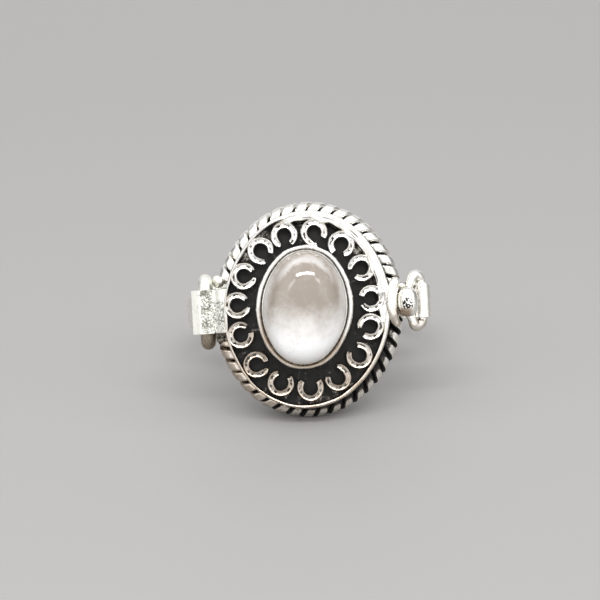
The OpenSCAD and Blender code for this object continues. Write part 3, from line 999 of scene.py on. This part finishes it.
def catch_link():
    """Closed link of round wire: one side turns in the rolled strap, and the other carries the ball."""
    upper = [(0, 1.64, 0), (-0.52, 2.2, 0), (-1.15, 1.1, 0)]
    lower = [(-1.15, -1.1, 0), (-0.68, -2.2, 0), (0, -1.66, 0)]
    corners = [(0, 0, 0)] + upper + lower + [(0, 0, 0)]
    line = resampled(bent(corners, [0.3, 0.3, 0.5, 0.5, 0.3, 0.3], 14), 0.08)[:-1]
    sizes = [1 + 0.16 * smooth((abs(p.y) - 1.55) / 0.3) for p in line]
    lean = math.radians(28)
    place = Matrix.Translation((CATCH_X, 0, CATCH_H)) @ Matrix.Rotation(lean, 4, "Y")
    shape = Shape()
    shape.wire(line, LINK_D, 24, closed=True, wear=0.95, sizes=sizes, place=place)
    # Painted brown floor reflection on the link's lower side.
    shape.tarnish_and_painted_reflection = [0.5 * smooth((-p.y - 1.3 + 0.4 * jitter(p, 0.5)) / 0.5) for p in shape.points]
    shape.piece("catch_link", "catch", PLAIN, "catch_loop", 0.008, 0.6)


def catch_ball():
    """Barrel-shaped ball, soldered on the link's free side, pitted in front, with a painted brown floor
    reflection and darker silver below.
    """
    levels, n = 110, 128
    pits_at = BALL_AT + Vector((-0.08, -0.16, BALL_D / 2))
    rings = []
    wear = []
    tarnish_and_painted_reflection = []
    for k in range(1, levels):
        a = math.pi * k / levels
        y = BALL_L / 2 * math.copysign(abs(math.cos(a)) ** 0.82, -math.cos(a))
        r = BALL_D / 2 * math.sin(a) ** 0.72
        ring = []
        for j in range(n):
            b = TAU * j / n
            p = BALL_AT + Vector((r * math.cos(b), y, r * math.sin(b)))
            pit = smooth((0.68 - (p - pits_at).length) / 0.3) * smooth((jitter(p, 0.12) + 0.08) / 0.14)
            # Painted brown floor reflection, with darker silver, on the ball's lower end.
            brown = smooth((-0.42 - p.y) / 0.25) * smooth((0.4 - p.x + BALL_AT.x) / 0.4)
            ring.append(p - Vector((0, 0, 0.03 * pit)))
            wear.append(0.95 - 0.85 * max(pit, 0.4 * brown))
            tarnish_and_painted_reflection.append(brown)
        rings.append(ring)
    half = Vector((0, BALL_L / 2, 0))
    shape = Shape()
    shape.rings(rings, tips=(BALL_AT - half, BALL_AT + half))
    shape.wear = wear + [0.95, 0.95]
    shape.tarnish_and_painted_reflection = tarnish_and_painted_reflection + [0.0, 0.0]
    shape.piece("catch_ball", "catch", PLAIN, "catch_loop", wobble=0.02, wobble_size=0.6)


band()
box()
hinge_staple()
catch_strap()
rope()
lid_tray()
scrolls()
bezel()
stone()
hinge_strap()
crescent()
solder_and_grains()
catch_link()
catch_ball()


# Camera, floor and light

PIXELS_PER_MM = 12.8
FRAME_PIXELS = 600
LID_CENTRE_PIXEL = (307, 309.5)
CAMERA_AWAY = 160
SENSOR_W = 36
CAMERA_ELEVATION = math.radians(18)


def camera():
    """Looks along +Y at the photograph's height, with its small sideways lean."""
    lid = HEAD @ Vector((0, OVAL_SHIFT, RIM_H))
    e = CAMERA_ELEVATION
    towards = Vector((0, -math.cos(e), math.sin(e)))
    lean = PICTURE_TURN - math.asin(-Vector(BORE["axis"]).x)
    turn = Matrix.Rotation(math.pi / 2 - e, 3, "X") @ Matrix.Rotation(-lean, 3, "Z")
    right, up = turn.col[0], turn.col[1]
    off = [(c - FRAME_PIXELS / 2) / PIXELS_PER_MM * MM for c in LID_CENTRE_PIXEL]
    aim = lid - right * off[0] + up * off[1]
    data = bpy.data.cameras.new("camera")
    data.sensor_width = SENSOR_W
    data.lens = SENSOR_W * CAMERA_AWAY * PIXELS_PER_MM / FRAME_PIXELS
    data.clip_start = 0.01
    data.clip_end = 10
    obj = bpy.data.objects.new("camera", data)
    obj.matrix_world = Matrix.Translation(aim + towards * CAMERA_AWAY * MM) @ turn.to_4x4()
    bpy.context.scene.collection.objects.link(obj)
    bpy.context.scene.camera = obj


def floor():
    """A plain matt floor under the ring."""
    half = 1.5
    z = cad_box[0].z
    corners = [(-half, -half, z), (half, -half, z), (half, half, z), (-half, half, z)]
    mesh = bpy.data.meshes.new("floor")
    mesh.from_pydata(corners, [], [(0, 1, 2, 3)])
    f = Finish("floor")
    f.set(Base_Color=(0.38, 0.37, 0.36, 1), Roughness=0.6)
    mesh.materials.append(f.material)
    obj = bpy.data.objects.new("floor", mesh)
    bpy.context.scene.collection.objects.link(obj)


def softbox(name, size, power, at, tilt=0):
    """A flat light that faces the ring, its length level unless tilted, in degrees."""
    data = bpy.data.lights.new(name, "AREA")
    data.shape = "RECTANGLE"
    data.size, data.size_y = size
    data.energy = power
    obj = bpy.data.objects.new(name, data)
    obj.location = at
    facing = (Vector((0, -0.012, 0.004)) - Vector(at)).to_track_quat("-Z", "Y").to_matrix()
    obj.rotation_euler = (facing @ Matrix.Rotation(math.radians(tilt), 3, "Z")).to_euler()
    bpy.context.scene.collection.objects.link(obj)


def sky():
    """A room's soft light, brightest above and in front, dim behind and at the sides."""
    world = bpy.data.worlds.new("world")
    world.use_nodes = True
    tree = world.node_tree
    place = tree.nodes.new("ShaderNodeTexCoord")
    facing = tree.nodes.new("ShaderNodeVectorMath")
    facing.operation = "DOT_PRODUCT"
    facing.inputs[1].default_value = (0, -0.62, 0.75)
    ramp = tree.nodes.new("ShaderNodeValToRGB")
    tree.links.new(place.outputs["Generated"], facing.inputs[0])
    tree.links.new(facing.outputs["Value"], ramp.inputs[0])
    stops = ramp.color_ramp.elements
    stops[0].position, stops[0].color = 0.0, (0.3, 0.303, 0.31, 1)
    stops[1].position, stops[1].color = 0.95, (1.06, 1.07, 1.09, 1)
    for at, grey in ((0.3, 0.4), (0.55, 0.9), (0.8, 1.06)):
        stops.new(at).color = (grey * 0.98, grey * 0.99, grey * 1.02, 1)
    tree.links.new(ramp.outputs[0], tree.nodes["Background"].inputs[0])
    tree.nodes["Background"].inputs[1].default_value = 1.0
    bpy.context.scene.world = world


camera()
floor()
sky()
softbox("arc", (0.25, 0.035), 0.36, (0.0, -0.157, 0.22))
softbox("arc_left", (0.075, 0.03), 0.022, (-0.165, -0.18, 0.175), 46)
softbox("arc_right", (0.075, 0.03), 0.022, (0.165, -0.18, 0.175), -46)
softbox("arch", (0.5, 0.1), 0.08, (0.0, 0.03, 0.27))
softbox("left", (0.26, 0.26), 0.16, (-0.3, -0.15, 0.1))
softbox("right", (0.26, 0.26), 0.13, (0.3, -0.15, 0.1))
softbox("low", (0.3, 0.06), 0.07, (0.0, -0.25, 0.03))
softbox("back", (0.6, 0.35), 0.4, (0.0, 0.3, 0.16))
bpy.context.scene.view_settings.view_transform = "Standard"
